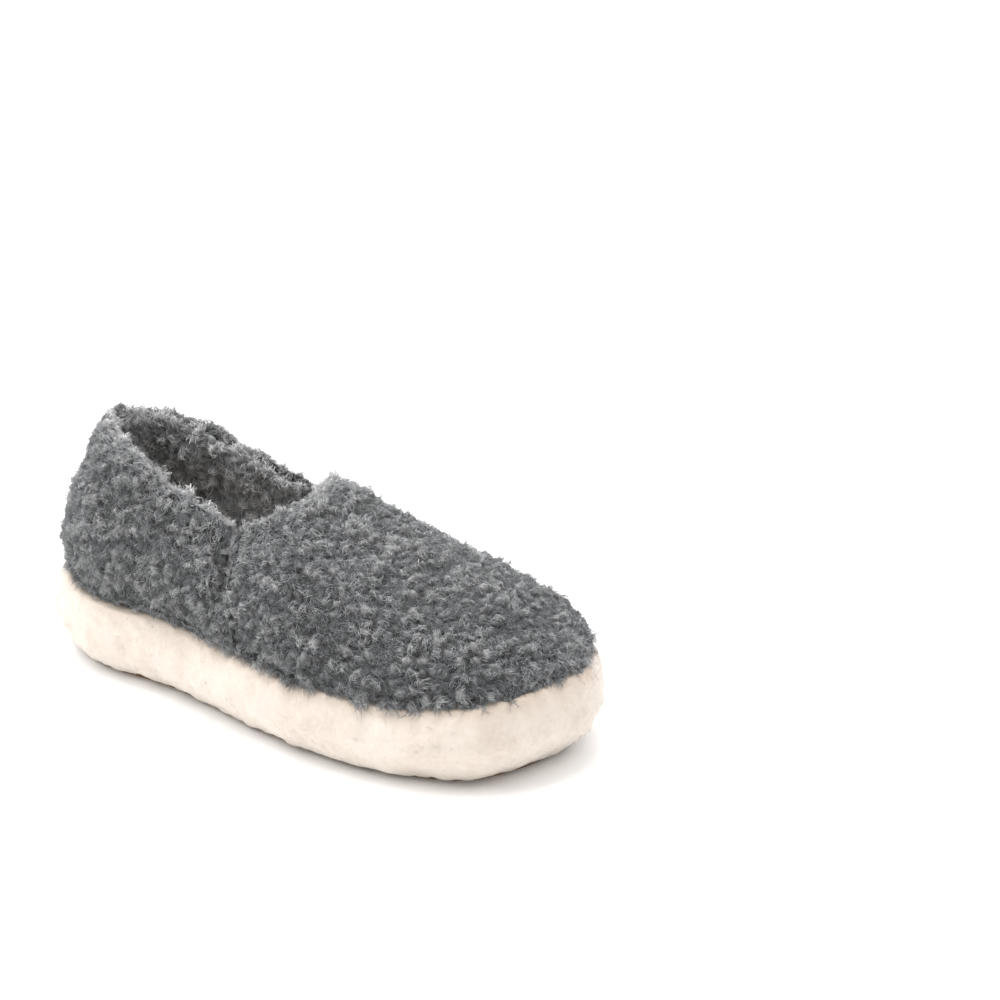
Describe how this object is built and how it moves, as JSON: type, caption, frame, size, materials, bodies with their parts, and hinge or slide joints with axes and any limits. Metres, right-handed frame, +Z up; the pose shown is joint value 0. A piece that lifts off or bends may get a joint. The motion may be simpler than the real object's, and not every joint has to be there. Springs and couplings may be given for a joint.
{
  "type": "moccasin",
  "caption": "Slip-on house moccasin of curly grey wool fleece, fleece lined, on a thick cream fleece sole with a suede outsole, made for the right foot.",
  "frame": {"origin": "on the ground, under the middle of the slipper's length and width", "axes": "+Z up, toe along -Y, heel along +Y, outer side of the foot along -X, inner side along +X"},
  "size_m": [0.12, 0.268, 0.1066],
  "materials": {
    "grey_fleece": "curly wool pile, light grey tips over dark grey roots, matt",
    "dark_grey_fleece": "curly wool pile, darker grey, matt",
    "cream_fleece": "short dense wool pile, cream, matt",
    "suede": "brown suede, napped, matt",
    "foam": "soft closed-cell foam, off-white",
    "felt_board": "pressed felt, light brown",
    "grey_thread": "dark grey sewing thread",
    "brown_thread": "brown waxed sewing thread",
    "cream_thread": "cream sewing thread"
  },
  "bodies": {
    "root": {"outsole": "suede", "outsole_stitches": "brown_thread", "midsole": "foam", "sole_cover": "cream_fleece", "sole_cover_stitches": "cream_thread", "insole_board": "felt_board", "insole_stitches": "grey_thread", "footbed": "cream_fleece", "vamp": "grey_fleece", "vamp_lining": "dark_grey_fleece", "quarter_outer_side": "grey_fleece", "quarter_inner_side": "grey_fleece", "quarter_lining_outer_side": "dark_grey_fleece", "quarter_lining_inner_side": "dark_grey_fleece", "side_seam_stitches_outer_side": "grey_thread", "side_seam_stitches_inner_side": "grey_thread", "back_seam_stitches": "grey_thread", "topline_stitches": "grey_thread", "throat_stitches": "grey_thread", "sole_seam_stitches": "grey_thread"}
  },
  "joints": []
}
